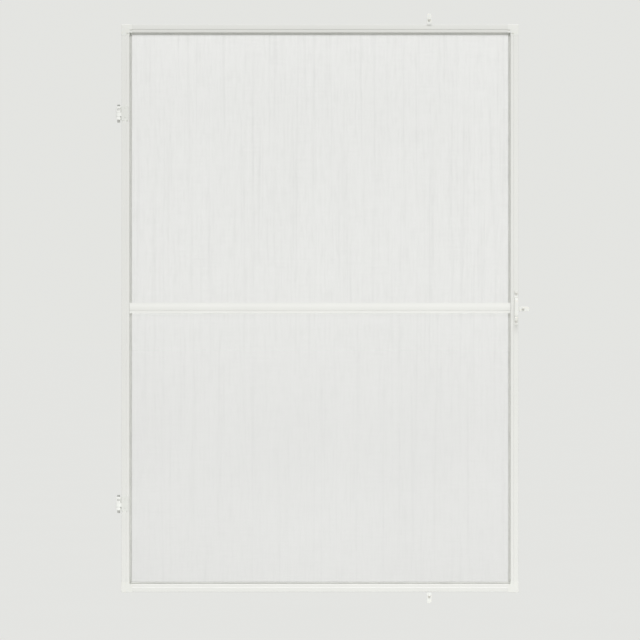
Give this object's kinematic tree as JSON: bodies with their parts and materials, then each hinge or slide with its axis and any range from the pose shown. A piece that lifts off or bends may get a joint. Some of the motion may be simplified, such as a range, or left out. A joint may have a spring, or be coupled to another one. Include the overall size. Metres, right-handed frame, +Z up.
{
  "type": "hinged window screen frame",
  "caption": "Slim white aluminium insect screen frame with woven mesh, cross bar, side hinges, pull handle and turn buttons, hung on a window casing.",
  "frame": {"origin": "on the casing plane, on the hinge line, half way between the two hinge screws", "axes": "+X across the frame from the hinge side to the handle side, +Y into the casing (the room is at -Y), +Z up"},
  "size_m": [1.0423, 0.0645, 1.4852],
  "materials": {
    "frame_paint": "white powder coat",
    "corner_plastic": "satin moulded",
    "mesh_cloth": "fine woven fibre",
    "spline_pvc": "soft ribbed cord",
    "brush_pile": "short pile",
    "hinge_plastic": "gloss paint",
    "pin_steel": "dull zinc",
    "grey_plastic": "satin moulded",
    "washer_nylon": "satin moulded",
    "white_screw": "painted",
    "handle_plastic": "gloss moulded",
    "zinc_screw": "zinc plated"
  },
  "bodies": {
    "casing_side": {"hinge_bracket_upper": "hinge_plastic", "hinge_bracket_lower": "hinge_plastic", "hinge_pin_upper": "pin_steel", "hinge_pin_lower": "pin_steel", "hinge_washers": "washer_nylon", "hinge_caps": "grey_plastic", "turn_button_screws": "zinc_screw"},
    "screen": {"hinge_stile": "frame_paint", "latch_stile": "frame_paint", "top_rail": "frame_paint", "bottom_rail": "frame_paint", "cross_bar": "frame_paint", "corner_top_left": "corner_plastic", "corner_top_right": "corner_plastic", "corner_bottom_left": "corner_plastic", "corner_bottom_right": "corner_plastic", "cross_bar_connector_left": "corner_plastic", "cross_bar_connector_right": "corner_plastic", "insect_mesh": "mesh_cloth", "spline_top": "spline_pvc", "spline_bottom": "spline_pvc", "spline_left": "spline_pvc", "spline_right": "spline_pvc", "brush_seal_top": "brush_pile", "brush_seal_bottom": "brush_pile", "brush_seal_left": "brush_pile", "brush_seal_right": "brush_pile", "hinge_leaf_upper": "hinge_plastic", "hinge_leaf_lower": "hinge_plastic", "leaf_screws": "white_screw", "pull_handle": "handle_plastic", "handle_screws": "zinc_screw"},
    "button_top": {"turn_button_top": "handle_plastic"},
    "button_bottom": {"turn_button_bottom": "handle_plastic"},
    "button_side": {"turn_button_side": "handle_plastic"}
  },
  "joints": [
    {"name": "screen_swing", "type": "hinge", "parent": "casing_side", "child": "screen", "pos_m": [0, -0.0105, -0.0095], "axis": [0, 0, -1], "range_deg": [0, 170]},
    {"name": "top_button_turn", "type": "hinge", "parent": "casing_side", "child": "button_top", "pos_m": [0.7825, -0.009, 0.7167], "axis": [0, 1, 0], "continuous": true},
    {"name": "bottom_button_turn", "type": "hinge", "parent": "casing_side", "child": "button_bottom", "pos_m": [0.7825, -0.009, -0.7357], "axis": [0, 1, 0], "continuous": true},
    {"name": "side_button_turn", "type": "hinge", "parent": "casing_side", "child": "button_side", "pos_m": [1.0187, -0.009, -0.0113], "axis": [0, 1, 0], "continuous": true}
  ]
}
